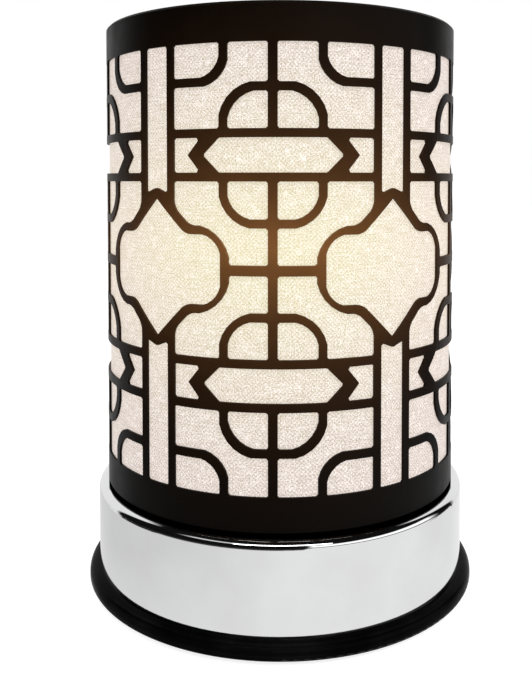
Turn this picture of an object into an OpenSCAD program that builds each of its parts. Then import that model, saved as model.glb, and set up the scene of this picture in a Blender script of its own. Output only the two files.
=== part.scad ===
// Electric wax warmer of the touch-lamp kind. A pierced sheet-steel shade with a fabric liner stands on a
// chromed drum. A spot lamp inside it shines up under a glass dish of wax, and a touch dimmer sits in the
// drum. Millimetres, +Z up. The origin is on the table under the middle of the drum, and the front faces -Y.

/* [Shade] */
// Outer diameter of the pierced sleeve
shade_d = 114; // [104:1:126]
// Height of the sleeve, from the deck of the base to the rim
shade_h = 145.7; // [136:0.1:165]
// Thickness of the sleeve's sheet steel
sheet_t = 0.7; // [0.5:0.1:1.0]
// Height of the plain band above and below the pierced field
band_h = 10.95; // [9:0.05:14]
// Width of the hem turned in at the rim
hem_w = 1.9; // [1.5:0.1:2.4]
// Height of the hem
hem_h = 1.5; // [1.2:0.1:2.0]
// Thickness of the fabric liner
liner_t = 0.4; // [0.3:0.05:0.6]
// Clearance between nested pieces of the shade
nest_gap = 0.2; // [0.1:0.05:0.3]

/* [Lattice] */
// Number of equal panels around the sleeve
panels = 5; // [5:1:6]
// Width of the lattice bars
bar_w = 2.45; // [2.0:0.05:2.8]
// Width of the upright bar in the middle of a panel
centre_bar_w = 2.7; // [2.0:0.05:3.2]
// Width of the level bar at half height
mid_rail_w = 2.9; // [2.0:0.05:3.6]
// Width of the upright column window between two panels
column_w = 8.32; // [6:0.02:9.5]
// Width of the sloping frame of the cartouche
frame_w = 2.75; // [2.2:0.05:3.2]
// Radius in the small corners of the windows
cut_r = 0.5; // [0.3:0.05:0.7]
// Radii of the hooked bar under the top band, inside and outside of its bend
hook_bend = [5.5, 7.0];
// Radii of the arched bar over the hexagon, inside and outside
arch_bend = [7.3, 8.8];
// Radii of the U-shaped bar under the hexagon, inside and outside
u_bend = [6.3, 8.6];
// Radii of the cartouche's side corner, inside and outside
cartouche_bend = [5.2, 8.6];
// Radius in the step of the cartouche
step_r = 4.0; // [2:0.1:5]
// Height of the bar over the cartouche's peak
peak_bar_h = 2.9; // [2.4:0.1:3.4]
// Radius of the column window's lower edge at its peak
peak_r = 1.6; // [1:0.1:2.5]
// Fall of the column window's lower edge from its peak to its corners
peak_fall = 1.6; // [1.2:0.1:2]
// Bar heights over the middle, as shares of the field's half height: hook, arch, upper rail, lower rail, U
rows = [0.829, 0.806, 0.604, 0.411, 0.206];
// Heights of the cartouche's shoulder bar and peak, as shares of the field's half height
cartouche_rows = [0.176, 0.317];
// Places across half a panel, as shares: arch bar, cartouche side bar, hexagon corner, hexagon tip
columns = [0.3847, 0.376, 0.416, 0.550];
// More places across half a panel, as shares: fishtail corner, fishtail notch, cartouche step
tail_columns = [0.5725, 0.683, 0.709];

/* [Base] */
// Width of the ledge of the base around the shade
ledge_w = 3.0; // [2.5:0.1:6]
// Height of the chromed drum above the flange
drum_h = 26.2; // [24:0.1:36]
// Thickness of the drum's wall and deck
drum_t = 1.0; // [0.8:0.1:1.5]
// Radius of the drum's shoulder
shoulder_r = 2.3; // [1.6:0.1:2.4]
// Height of the black flange
flange_h = 5.1; // [4.4:0.1:8]
// Width by which the flange stands out from the drum
flange_w = 3.2; // [2.6:0.1:6]
// Radius of the flange's lower edge
flange_edge_r = 1.2; // [0.6:0.1:1.6]
// Height of the flange's upstand inside the drum
spigot_h = 4.4; // [3:0.1:5]
// Thickness of the flange's upstand
spigot_t = 1.2; // [1:0.1:2]
// Width of the flange's inner ledge over the bottom plate
flange_ledge_w = 6.5; // [5:0.1:7]
// Thickness of the bottom plate
plate_t = 1.5; // [1.2:0.1:2.0]
// Depth of the bottom plate above the flange's underside
plate_recess = 0.5; // [0.3:0.1:0.8]
// Height of the flange's underside above the table
foot_h = 1.5; // [1.4:0.1:3]
// Diameter of a rubber foot
foot_d = 12; // [9:0.5:13]
// Height of the cord inlet above the table
inlet_z = 19.5; // [19:0.1:22]
// Diameter of the cord that the inlet takes
inlet_bore = 6.2; // [5:0.1:7]

/* [Dish] */
// Depth of the dish's lip below the rim
dish_drop = 3; // [2:0.1:5]
// Thickness of the glass
glass_t = 2.6; // [2.2:0.1:3.2]
// Depth of the bowl below its lip
bowl_depth = 15; // [12:0.5:18]
// Clearance of the lip inside the ring that carries it
dish_gap = 1.7; // [1:0.1:2.5]
// Thickness of the pressed rings inside the shade
ring_t = 0.8; // [0.6:0.1:1.0]
// Width of the shelf that carries the dish
shelf_w = 8.3; // [7.5:0.1:9]

/* [Lamp] */
// Diameter of the lamp's front
lamp_d = 50; // [49:0.5:51]
// Length of the lamp above its holder
lamp_len = 50.8; // [48:0.1:55]
// Distance between the lamp's two pins
pin_pitch = 10; // [9.5:0.1:10.5]
// Diameters of a pin's neck and head
pin_d = [3, 5];
// Turn that frees the lamp from its holder, in degrees
twist = 40; // [35:1:42]
// Height of the ceramic lampholder
holder_h = 18; // [16:0.5:22]
// Diameter of the lampholder
holder_d = 28; // [27.5:0.5:31]
// Height of the bracket that carries the lampholder
bracket_h = 8.2; // [7.5:0.1:12]

/* [Dimmer] */
// Width, depth and height of the dimmer case, without its lid
case_size = [46, 30, 14];
// Wall of the case
case_t = 1.6; // [1.2:0.1:2]
// Width, depth and height of the terminal block
block_size = [22, 14, 12.5];
// Diameter of the insulated leads
lead_d = 2.2; // [1.6:0.1:2.6]

/* [Hidden] */
$fn = 96;
arc_steps = 5;
bend_flat = 0.3;
fine_r = 1;
run_gap = 0.2;
seat_gap = 0.1;
base_gap = 0.3;
seam = 0.05;
cut = 1;

// Fasteners
screw_d = 3;
hole_d = 3.4;
tap_d = 3.2;
head_d = 5.5;
head_h = 1.6;
recess_w = 0.8;
recess_h = 0.7;
plate_bite = 8;
deck_bite = 7;
sink_h = 3.5;
nut_af = 5.5;
nut_h = 2.4;
screw_tail = 1.1;

// Heights
flange_top = foot_h + flange_h;
deck_z = flange_top + drum_h;
under_deck = deck_z - drum_t;
rim_z = deck_z + shade_h;
plate_z = foot_h + plate_recess;
plate_top = plate_z + plate_t;
holder_z = deck_z + bracket_h;
holder_top = holder_z + holder_h;
lamp_z = holder_top + run_gap;
lamp_top = lamp_z + lamp_len;
lip_z = rim_z - dish_drop - glass_t;
shelf_z = lip_z - run_gap;

// Radii
shade_r = shade_d / 2;
liner_r = shade_r - sheet_t - nest_gap;
ring_r = liner_r - liner_t - nest_gap;
dish_r = ring_r - ring_t - dish_gap;
drum_r = shade_r + ledge_w;
flange_r = drum_r + flange_w;
spigot_r = drum_r - drum_t - base_gap;
plate_inset = 4;
plate_r = spigot_r - plate_inset;
ledge_r = plate_r - flange_ledge_w;

// Posts that tie the bottom plate, the deck and the shade together
post_af = 7;
post_gap = 1.5;
post_ring = ledge_r - post_af / 2 / cos(30) - post_gap;
post_angles = [30, 150, 270];
foot_inset = 5;
foot_stem_r = 2;
foot_ring_r = ledge_r - foot_inset;
foot_angles = [45, 135, 225, 315];

// Lattice, unrolled: s runs along the sleeve's outer face from the middle of a panel, z from half height
field = shade_h / 2 - band_h;
half_panel = PI * shade_d / panels / 2;
half_bar = bar_w / 2;
hook_z = rows[0] * field;
arch_z = rows[1] * field;
rail_z = rows[2] * field;
low_rail_z = rows[3] * field;
u_z = rows[4] * field;
hexagon_z = (rail_z + low_rail_z) / 2;
shoulder_z = cartouche_rows[0] * field;
peak_z = cartouche_rows[1] * field;
arch_in = columns[0] * half_panel - half_bar;
arch_out = arch_in + bar_w;
side_out = columns[1] * half_panel - half_bar;
side_in = side_out + bar_w;
middle_edge = centre_bar_w / 2;
column_edge = half_panel - column_w / 2 - bar_w;
step_s = half_panel - tail_columns[2] * half_panel;
frame_slope = (peak_z - shoulder_z + half_bar) / step_s;
frame_peak = peak_z + frame_w * sqrt(1 + frame_slope * frame_slope);
column_peak = peak_z + peak_bar_h;

// Windows of the upper right quarter of a panel, each a list of corners: s, z and the corner's radius
hook_window = [
    [column_edge, field, cut_r],
    [column_edge, hook_z + half_bar, cut_r],
    [arch_out, hook_z + half_bar, hook_bend[0]],
    [arch_out, field, cut_r]
];
upper_z_window = [
    [middle_edge, field, cut_r],
    [arch_in, field, cut_r],
    [arch_in, hook_z - half_bar, hook_bend[1]],
    [column_edge, hook_z - half_bar, cut_r],
    [column_edge, rail_z + half_bar, cut_r],
    [arch_out, rail_z + half_bar, cut_r],
    [arch_out, arch_z + half_bar, arch_bend[1]],
    [middle_edge, arch_z + half_bar, cut_r]
];
arch_window = [
    [middle_edge, arch_z - half_bar, cut_r],
    [arch_in, arch_z - half_bar, arch_bend[0]],
    [arch_in, rail_z + half_bar, cut_r],
    [middle_edge, rail_z + half_bar, cut_r]
];
fishtail_window = [
    [column_edge, rail_z - half_bar, cut_r],
    [tail_columns[0] * half_panel, rail_z - half_bar, cut_r],
    [tail_columns[1] * half_panel, hexagon_z, 0],
    [tail_columns[0] * half_panel, low_rail_z + half_bar, cut_r],
    [column_edge, low_rail_z + half_bar, cut_r]
];
u_window = [
    [middle_edge, low_rail_z - half_bar, cut_r],
    [arch_in, low_rail_z - half_bar, cut_r],
    [arch_in, u_z + half_bar, u_bend[0]],
    [middle_edge, u_z + half_bar, cut_r]
];
lower_z_window = [
    [column_edge, low_rail_z - half_bar, cut_r],
    [arch_out, low_rail_z - half_bar, cut_r],
    [arch_out, u_z - half_bar, u_bend[1]],
    [middle_edge, u_z - half_bar, cut_r],
    [middle_edge, mid_rail_w / 2, cut_r],
    [side_out, mid_rail_w / 2, cut_r],
    [side_out, shoulder_z + half_bar, cartouche_bend[1]],
    [half_panel - (frame_peak - shoulder_z - half_bar) / frame_slope, shoulder_z + half_bar, step_r],
    [column_edge, frame_peak - frame_slope * (half_panel - column_edge), step_r]
];
quarter_windows = [hook_window, upper_z_window, arch_window, fishtail_window, u_window, lower_z_window];

// Windows of the upper half of a panel
hexagon_window = [
    for (side = [-1, 1], k = side < 0 ? [0, 1, 2] : [2, 1, 0])
        [side * columns[k == 1 ? 3 : 2] * half_panel,
         [low_rail_z + half_bar, hexagon_z, rail_z - half_bar][k],
         cut_r]
];
column_window = [
    [half_panel - column_w / 2, field, cut_r],
    [half_panel - column_w / 2, column_peak - peak_fall, cut_r],
    [half_panel, column_peak, peak_r],
    [half_panel + column_w / 2, column_peak - peak_fall, cut_r],
    [half_panel + column_w / 2, field, cut_r]
];
half_windows = [hexagon_window, column_window];

// The cartouche between two panels
cartouche_quarter = [
    [0, peak_z, cut_r],
    [step_s, shoulder_z - half_bar, step_r],
    [half_panel - side_in, shoulder_z - half_bar, cartouche_bend[0]]
];
cartouche_window = [
    for (turn = [[1, 1], [1, -1], [-1, -1], [-1, 1]], k = turn.x == turn.y ? [0, 1, 2] : [2, 1, 0])
        if (k > 0 || turn.x == turn.y)
            let (corner = cartouche_quarter[k])
            [half_panel + turn.x * corner.x, turn.y * corner.y, corner.z]
];

// Base fittings
grommet_wall = 1.9;
grommet_lip_w = 1.5;
inlet_hole_d = inlet_bore + 2 * grommet_wall;
inlet_flange_d = inlet_hole_d + 2 * grommet_lip_w;
bush_r = 6;
bush_bore = 8;
case_room = 4.5;
case_y = -(post_ring - post_af / 2 - case_room);
case_mid = case_y + case_size.y / 2;
case_back = case_y + case_size.y;
case_top = plate_top + case_size.z;
case_hole_drop = 3.5;
case_hole_z = case_top - case_hole_drop;
case_hole_x = 8;
lead_hole_d = lead_d + 0.5;
peg_h = 3;
board_t = 1.6;
board_gap = 0.5;
board_z = plate_top + case_t + peg_h;
board_size = [case_size.x - 2 * case_t - 2 * board_gap, case_size.y - 2 * case_t - 2 * board_gap, board_t];
block_inset = 20;
block_y = plate_r - block_inset;
block_front = block_y - block_size.y / 2;
block_bore_x = block_size.x / 4;
block_bore_h = 6;
block_bore_z = plate_top + block_bore_h;
block_bore_d = 3.6;
clamp_drop = 1.2;
bracket_t = 1.0;
bracket_foot_x = 21;
bracket_toe = 5;
bracket_d = 20;
holder_screw_x = 10.5;
tag_t = 0.8;
barrel_d = [3.4, 2.4];
barrel_y = [-8, -13];

// Lampholder slots
lip_t = 2.2;
pin_head_h = 2.4;
pin_gap = 0.3;
head_top = holder_top - lip_t - pin_gap;
head_bottom = head_top - pin_head_h;
pocket_floor = holder_z + holder_h / 2;
neck_slack = 0.2;
head_slack = 0.4;
lead_hole_h = 4;

// Spot lamp
cap_h = 15;
cap_r = 13;
bulb_wall = 1.5;
front_lip_h = 3.8;
front_ledge = 1.4;
front_t = 1.4;
front_drop = 1;
front_z = lamp_top - front_drop - front_t;
capsule_r = 4.5;
capsule_room = 8;

// Geometry helpers
function unit(v) = v / norm(v);

// Points of the bend that rounds corner q, between its neighbours p and n. It is an arc, or by a share
// its chord.
function corner_arc(p, q, n, r, flat) =
    let (
        u = unit(p - q),
        v = unit(n - q),
        half = acos(u * v) / 2,
        middle = q + unit(u + v) * r / sin(half),
        from = q + u * r / tan(half) - middle,
        to = q + v * r / tan(half) - middle,
        start = atan2(from.y, from.x),
        sweep = atan2(from.x * to.y - from.y * to.x, from * to),
        steps = r < fine_r ? 1 : arc_steps
    )
    [for (i = [0:steps])
        let (
            angle = start + sweep * i / steps,
            arc = middle + r * [cos(angle), sin(angle)],
            chord = middle + from + (to - from) * i / steps
        )
        arc + flat * (chord - arc)];

// Outline of a list of corners, each a point and a radius
function rounded(corners, flat = 0) =
    let (n = len(corners), at = [for (c = corners) [c.x, c.y]])
    [for (i = [0:n - 1])
        each (corners[i].z > 0
            ? corner_arc(at[(i + n - 1) % n], at[i], at[(i + 1) % n], corners[i].z, flat)
            : [at[i]])];

// Ring of points round a path's point, square to the path
function ring_at(path, i, r, sides) =
    let (
        along = unit(path[min(i + 1, len(path) - 1)] - path[max(i - 1, 0)]),
        across = unit(cross(along, [0.9, 0.4, 0.15])),
        other = cross(along, across)
    )
    [for (k = [0:sides - 1]) path[i] + r * (cos(360 * k / sides) * across + sin(360 * k / sides) * other)];

// Smooth path through the points of a route
function curve_point(a, b, c, d, t) =
    ((2 * b) + (c - a) * t + (2 * a - 5 * b + 4 * c - d) * t * t + (3 * b - a - 3 * c + d) * t * t * t) / 2;
function smooth(route, steps) =
    let (last = len(route) - 1)
    [for (i = [0:last - 1], k = [0:i == last - 1 ? steps : steps - 1])
        curve_point(route[max(i - 1, 0)], route[i], route[i + 1], route[min(i + 2, last)], k / steps)];

// Insulated lead along a route
module lead(route, d, sides = 8, steps = 3) {
    path = smooth(route, steps);
    rings = len(path);
    points = [for (i = [0:rings - 1]) each ring_at(path, i, d / 2, sides)];
    walls = [
        for (i = [0:rings - 2], k = [0:sides - 1])
            let (a = i * sides + k, b = i * sides + (k + 1) % sides)
            each [[a, a + sides, b], [b, a + sides, b + sides]]
    ];
    last = (rings - 1) * sides;
    near = [for (k = [1:sides - 2]) [0, k, k + 1]];
    far = [for (k = [1:sides - 2]) [last, last + k + 1, last + k]];
    polyhedron(points, concat(walls, near, far));
}

// Section of a drum from its axis, with a round shoulder
module drum_section(r, z_low, z_top, corner) {
    difference() {
        translate([0, z_low]) square([r, z_top - z_low]);
        translate([r - corner, z_top - corner]) difference() {
            square(corner + cut);
            circle(corner);
        }
    }
}

// Pan-head screw with its head's seat at z = 0, pointing down
module pan_screw(length) {
    difference() {
        union() {
            cylinder(d = head_d, h = head_h);
            translate([0, 0, -length]) cylinder(d = screw_d, h = length);
        }
        for (turn = [0, 90]) rotate(turn) translate([0, 0, head_h])
            cube([head_d * 0.6, recess_w, 2 * recess_h], center = true);
    }
}

// Copies on a circle about the axis
module around(angles, r) {
    for (a = angles) rotate(a) translate([r, 0, 0]) children();
}

// Radial cutter for one window of the sleeve
module pierce(corners) {
    s = [for (c = corners) c.x];
    middle = (min(s) + max(s)) / 2;
    half_angle = (max(s) - min(s)) / shade_d * 180 / PI;
    reach = shade_r * (1 - cos(half_angle)) + sheet_t + cut;
    outline = [
        for (p = rounded(corners, bend_flat)) [shade_r * sin((p.x - middle) / shade_r * 180 / PI), p.y]
    ];
    rotate(middle / shade_r * 180 / PI)
        translate([0, 0, deck_z + shade_h / 2])
        rotate([90, 0, 0])
        translate([0, 0, shade_r - reach])
        linear_extrude(reach + cut) polygon(outline);
}

function flipped(corners, side, end) = [for (c = corners) [side * c.x, end * c.y, c.z]];

module panel_windows() {
    for (end = [-1, 1]) {
        for (w = quarter_windows, side = [-1, 1]) pierce(flipped(w, side, end));
        for (w = half_windows) pierce(flipped(w, 1, end));
    }
    pierce(cartouche_window);
}

// Pieces of the base
module base_flange() {
    bead_r = min(flange_w, flange_h - flange_edge_r);
    color([0.03, 0.03, 0.035]) rotate_extrude() difference() {
        union() {
            drum_section(flange_r, foot_h, flange_top, bead_r);
            translate([spigot_r - spigot_t, flange_top - seam]) square([spigot_t, spigot_h + seam]);
        }
        translate([0, foot_h - cut]) square([ledge_r, flange_h + 2 * cut]);
        translate([0, foot_h - cut]) square([plate_r + base_gap, plate_recess + plate_t + cut]);
        translate([flange_r - flange_edge_r, foot_h + flange_edge_r]) difference() {
            translate([0, -flange_edge_r - cut]) square(flange_edge_r + cut);
            circle(flange_edge_r);
        }
    }
}

module base_shell() {
    color([0.85, 0.86, 0.88]) difference() {
        rotate_extrude() difference() {
            drum_section(drum_r, flange_top, deck_z, shoulder_r);
            drum_section(drum_r - drum_t, flange_top - cut, under_deck, shoulder_r - drum_t);
        }
        translate([0, 0, under_deck - cut]) {
            cylinder(r = bush_r + run_gap, h = drum_t + 2 * cut);
            around([0, 180], bracket_foot_x) cylinder(d = hole_d, h = drum_t + 2 * cut);
            around(post_angles, post_ring) cylinder(d = hole_d, h = drum_t + 2 * cut);
        }
        translate([0, drum_r - drum_t - 2 * cut, inlet_z]) rotate([-90, 0, 0])
            cylinder(d = inlet_hole_d, h = drum_t + 4 * cut);
    }
}

module bottom_plate() {
    vent = [2.4, 20];
    vent_pitch = 5;
    vent_inset = 19.5;
    vent_x = plate_r - vent_inset;
    color([0.1, 0.1, 0.11]) difference() {
        translate([0, 0, plate_z]) cylinder(r = plate_r, h = plate_t);
        translate([0, 0, plate_z - cut]) {
            around(post_angles, post_ring) cylinder(d = hole_d, h = plate_t + 2 * cut);
            around(foot_angles, foot_ring_r) cylinder(r = foot_stem_r + seat_gap, h = plate_t + 2 * cut);
            for (side = [-1, 1], i = [-1:1])
                translate([side * vent_x + i * vent_pitch - vent.x / 2, -vent.y / 2, 0])
                    cube([vent.x, vent.y, plate_t + 2 * cut]);
        }
    }
}

module rubber_feet() {
    edge_r = 0.6;
    barb_r = foot_stem_r + 0.9;
    tip_r = foot_stem_r - 0.4;
    barb_z = plate_top + seat_gap;
    tip_z = barb_z + 1.5;
    color([0.06, 0.06, 0.06]) around(foot_angles, foot_ring_r) rotate_extrude() polygon(rounded([
        [0, 0, 0], [foot_d / 2 - edge_r, 0, edge_r], [foot_d / 2, plate_z, 0], [foot_stem_r, plate_z, 0],
        [foot_stem_r, barb_z, 0], [barb_r, barb_z, edge_r / 2], [tip_r, tip_z, edge_r / 2], [0, tip_z, 0]
    ]));
}

module cover_screws() {
    color([0.55, 0.55, 0.57]) around(post_angles, post_ring)
        translate([0, 0, plate_z]) mirror([0, 0, 1]) pan_screw(plate_t + plate_bite);
}

module standoff_posts() {
    color([0.7, 0.7, 0.72]) around(post_angles, post_ring) translate([0, 0, plate_top]) difference() {
        cylinder(d = post_af / cos(30), h = under_deck - plate_top, $fn = 6);
        translate([0, 0, -cut]) cylinder(d = tap_d, h = under_deck - plate_top + 2 * cut);
    }
}

module cord_grommet() {
    wall_in = sqrt(pow(drum_r - drum_t, 2) - pow(inlet_flange_d / 2, 2)) - seat_gap;
    wall_out = drum_r + seat_gap;
    neck_r = inlet_hole_d / 2 - run_gap;
    lip = 2;
    chamfer = 0.8;
    color([0.05, 0.05, 0.05]) translate([0, 0, inlet_z]) rotate([-90, 0, 0]) rotate_extrude() polygon([
        [inlet_bore / 2, wall_in - lip], [inlet_flange_d / 2 - chamfer, wall_in - lip],
        [inlet_flange_d / 2, wall_in - lip / 2], [inlet_flange_d / 2, wall_in],
        [neck_r, wall_in], [neck_r, wall_out],
        [inlet_flange_d / 2, wall_out], [inlet_flange_d / 2, wall_out + lip / 2],
        [inlet_flange_d / 2 - chamfer, wall_out + lip], [inlet_bore / 2, wall_out + lip]
    ]);
}

module terminal_block() {
    groove = [1.5, 4];
    color([0.9, 0.89, 0.84]) difference() {
        translate([-block_size.x / 2, block_front, plate_top]) cube(block_size);
        for (side = [-1, 1]) translate([side * block_bore_x, 0, 0]) {
            translate([0, block_front - cut, block_bore_z]) rotate([-90, 0, 0])
                cylinder(d = block_bore_d, h = block_size.y + 2 * cut);
            for (row = [-1, 1]) translate([0, block_y + row * block_size.y / 4, block_bore_z])
                cylinder(d = tap_d, h = block_size.z);
        }
        translate([-groove.x / 2, block_front - cut, plate_top + block_size.z - groove.y])
            cube([groove.x, block_size.y + 2 * cut, groove.y + cut]);
    }
}

module terminal_screws() {
    tip_z = block_bore_z + lead_d / 2 + seat_gap;
    length = plate_top + block_size.z - clamp_drop - tip_z;
    color([0.78, 0.65, 0.35]) for (side = [-1, 1], row = [-1, 1])
        translate([side * block_bore_x, block_y + row * block_size.y / 4, tip_z]) difference() {
            cylinder(d = screw_d, h = length);
            translate([0, 0, length]) cube([screw_d + cut, recess_w, 2 * recess_h], center = true);
        }
}

module dimmer_case() {
    peg_d = 4;
    peg_inset = case_t + 4;
    peg = [case_size.x / 2 - peg_inset, case_size.y / 2 - peg_inset];
    color([0.16, 0.16, 0.17]) translate([0, case_mid, 0]) {
        difference() {
            translate([-case_size.x / 2, -case_size.y / 2, plate_top]) cube(case_size);
            translate([case_t - case_size.x / 2, case_t - case_size.y / 2, plate_top + case_t])
                cube([case_size.x - 2 * case_t, case_size.y - 2 * case_t, case_size.z]);
            for (side = [-1, 1])
                translate([side * case_hole_x, case_size.y / 2 - case_t - cut, case_hole_z])
                    rotate([-90, 0, 0]) cylinder(d = lead_hole_d, h = case_t + 2 * cut);
            translate([case_size.x / 2 - case_t - cut, 0, case_hole_z]) rotate([0, 90, 0])
                cylinder(d = lead_hole_d, h = case_t + 2 * cut);
        }
        for (x = [-1, 1], y = [-1, 1]) translate([x * peg.x, y * peg.y, plate_top + case_t - seam])
            cylinder(d = peg_d, h = peg_h + seam);
    }
}

module dimmer_lid() {
    rim_h = 2;
    rim_t = 1.2;
    inner = [case_size.x - 2 * case_t - 2 * run_gap, case_size.y - 2 * case_t - 2 * run_gap];
    color([0.2, 0.2, 0.21]) translate([0, case_mid, case_top]) {
        translate([-case_size.x / 2, -case_size.y / 2, 0]) cube([case_size.x, case_size.y, case_t]);
        difference() {
            translate([-inner.x / 2, -inner.y / 2, -rim_h]) cube([inner.x, inner.y, rim_h + seam]);
            translate([rim_t - inner.x / 2, rim_t - inner.y / 2, -rim_h - cut])
                cube([inner.x - 2 * rim_t, inner.y - 2 * rim_t, rim_h + cut]);
        }
    }
}

// Things on the dimmer's board, placed from its middle
module on_board(x, y) {
    translate([x, case_mid + y, board_z + board_t]) children();
}

module dimmer_board() {
    color([0.1, 0.35, 0.18]) translate([-board_size.x / 2, case_mid - board_size.y / 2, board_z])
        cube(board_size);
}

module touch_chip() {
    size = [6.4, 9.8, 2.4];
    stand = 0.4;
    leg = [1.2, 0.6, 1.4];
    leg_pitch = 2.4;
    end_gap = 11.9;
    color([0.08, 0.08, 0.08]) on_board(end_gap - board_size.x / 2, -4) {
        translate([-size.x / 2, -size.y / 2, stand]) cube(size);
        for (side = [-1, 1], i = [-1.5:1.5])
            translate([side * (size.x / 2 + stand) - leg.x / 2, i * leg_pitch - leg.y / 2, 0]) cube(leg);
    }
}

module triac() {
    body = [10, 4.4, 3.6];
    tab = [10, 5, 1.3];
    end_gap = 10.9;
    color([0.12, 0.12, 0.12]) on_board(board_size.x / 2 - end_gap, -5) {
        translate([-body.x / 2, -body.y / 2, 0]) cube(body);
        translate([-tab.x / 2, body.y / 2 - seam, 0]) difference() {
            cube(tab);
            translate([tab.x / 2, tab.y / 2, -cut]) cylinder(d = tap_d, h = tab.z + 2 * cut);
        }
    }
}

module capacitor() {
    size = [13, 5, 3.8];
    edge_gap = 5.9;
    color([0.55, 0.12, 0.1]) on_board(3, board_size.y / 2 - edge_gap)
        translate([-size.x / 2, -size.y / 2, 0]) cube(size);
}

module touch_tag() {
    eye_d = hole_d + 3.6;
    neck_w = 3;
    barrel_floor = 2;
    barrel_h = barrel_y[0] - barrel_y[1];
    color([0.75, 0.72, 0.6]) translate([bracket_foot_x, 0, under_deck - tag_t]) difference() {
        union() {
            cylinder(d = eye_d, h = tag_t);
            translate([-neck_w / 2, barrel_y[0] - cut, 0])
                cube([neck_w, -barrel_y[0] - hole_d / 2 + seam, tag_t]);
            translate([0, barrel_y[0], tag_t - barrel_d[0] / 2]) rotate([90, 0, 0])
                cylinder(d = barrel_d[0], h = barrel_h);
        }
        translate([0, 0, -cut]) cylinder(d = hole_d, h = tag_t + 2 * cut);
        translate([0, barrel_y[0] - barrel_floor, tag_t - barrel_d[0] / 2]) rotate([90, 0, 0])
            cylinder(d = barrel_d[1], h = barrel_h);
    }
}

module touch_lead() {
    barrel_z = under_deck - barrel_d[0] / 2;
    side_x = case_size.x / 2;
    tail = case_t + 1.5;
    bow = 6;
    dip = 4;
    color([0.75, 0.1, 0.1]) lead([
        [bracket_foot_x, barrel_y[1] + bow / 3, barrel_z],
        [bracket_foot_x, barrel_y[1], barrel_z],
        [bracket_foot_x, barrel_y[1] - bow / 3, barrel_z],
        [bracket_foot_x + bow, barrel_y[1] - bow, barrel_z - dip],
        [side_x + 1.5 * bow, case_mid - bow / 6, case_hole_z + dip],
        [side_x + 0.85 * bow, case_mid, case_hole_z],
        [side_x - tail, case_mid, case_hole_z]
    ], lead_d);
}

module lamp_leads() {
    tail = bush_bore / 4;
    color([0.92, 0.9, 0.85]) {
        lead([
            [-tail, 0, holder_z + 3],
            [-tail, 0, deck_z + 4],
            [-tail, 0, under_deck - 4],
            [-case_hole_x + 1, case_back + 5, case_hole_z + 3],
            [-case_hole_x, case_back + 2.5, case_hole_z],
            [-case_hole_x, case_back - case_t - 1.5, case_hole_z]
        ], lead_d);
        lead([
            [tail, 0, holder_z + 3],
            [tail, 0, deck_z + 4],
            [tail, 0, under_deck - 4],
            [-block_bore_x / 2, block_front - 12, block_bore_z + 6],
            [-block_bore_x, block_front - 4, block_bore_z],
            [-block_bore_x, block_front + 4, block_bore_z]
        ], lead_d);
    }
}

module supply_lead() {
    color([0.1, 0.1, 0.1]) lead([
        [case_hole_x, case_back - case_t - 1.5, case_hole_z],
        [case_hole_x, case_back + 4, case_hole_z],
        [case_hole_x + 2, (case_back + block_front) / 2, case_hole_z - 2],
        [block_bore_x, block_front - 4, block_bore_z],
        [block_bore_x, block_front + 4, block_bore_z]
    ], lead_d);
}

module lead_bush() {
    lip = 1.4;
    flange = bush_r + 1.6;
    chamfer = 0.5;
    low = under_deck - seat_gap;
    high = deck_z + seat_gap;
    color([0.85, 0.83, 0.78]) rotate_extrude() polygon([
        [bush_bore / 2, low - lip], [flange - chamfer, low - lip], [flange, low - lip / 2], [flange, low],
        [bush_r, low], [bush_r, high],
        [flange, high], [flange, high + lip / 2], [flange - chamfer, high + lip], [bush_bore / 2, high + lip]
    ]);
}

// Lampholder and its bracket
module lampholder_bracket() {
    leg_gap = 2;
    leg_x = holder_d / 2 + leg_gap;
    toe_x = bracket_foot_x + bracket_toe;
    outline = [
        [toe_x, deck_z], [toe_x, deck_z + bracket_t],
        [leg_x + bracket_t, deck_z + bracket_t], [leg_x + bracket_t, holder_z],
        [-leg_x - bracket_t, holder_z], [-leg_x - bracket_t, deck_z + bracket_t],
        [-toe_x, deck_z + bracket_t], [-toe_x, deck_z],
        [-leg_x, deck_z], [-leg_x, holder_z - bracket_t], [leg_x, holder_z - bracket_t], [leg_x, deck_z]
    ];
    color([0.66, 0.67, 0.69]) difference() {
        translate([0, bracket_d / 2, 0]) rotate([90, 0, 0]) linear_extrude(bracket_d) polygon(outline);
        translate([0, 0, deck_z - cut]) {
            cylinder(d = bush_bore + leg_gap, h = bracket_h + 2 * cut);
            around([0, 180], holder_screw_x) cylinder(d = tap_d, h = bracket_h + 2 * cut);
            around([0, 180], bracket_foot_x) cylinder(d = hole_d, h = bracket_h + 2 * cut);
        }
    }
}

module bracket_screws() {
    color([0.6, 0.6, 0.62]) around([0, 180], bracket_foot_x)
        translate([0, 0, deck_z + bracket_t]) pan_screw(bracket_t + drum_t + tag_t + nut_h + screw_tail);
}

module bracket_nuts() {
    color([0.6, 0.6, 0.62]) for (side = [-1, 1])
        translate([side * bracket_foot_x, 0, under_deck - nut_h - (side > 0 ? tag_t : 0)]) difference() {
            cylinder(d = nut_af / cos(30), h = nut_h, $fn = 6);
            translate([0, 0, -cut]) cylinder(d = tap_d, h = nut_h + 2 * cut);
        }
}

// Arc-shaped slot of a given width on the pins' circle, from the locked place to the free one
module pin_slot(width, end_d, h) {
    r = pin_pitch / 2;
    rotate(90) rotate_extrude(angle = twist)
        translate([r - width / 2 + seam, 0]) square([width - 2 * seam, h]);
    translate([0, r, 0]) cylinder(d = width, h = h);
    rotate(twist) translate([0, r, 0]) cylinder(d = end_d, h = h);
}

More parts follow.
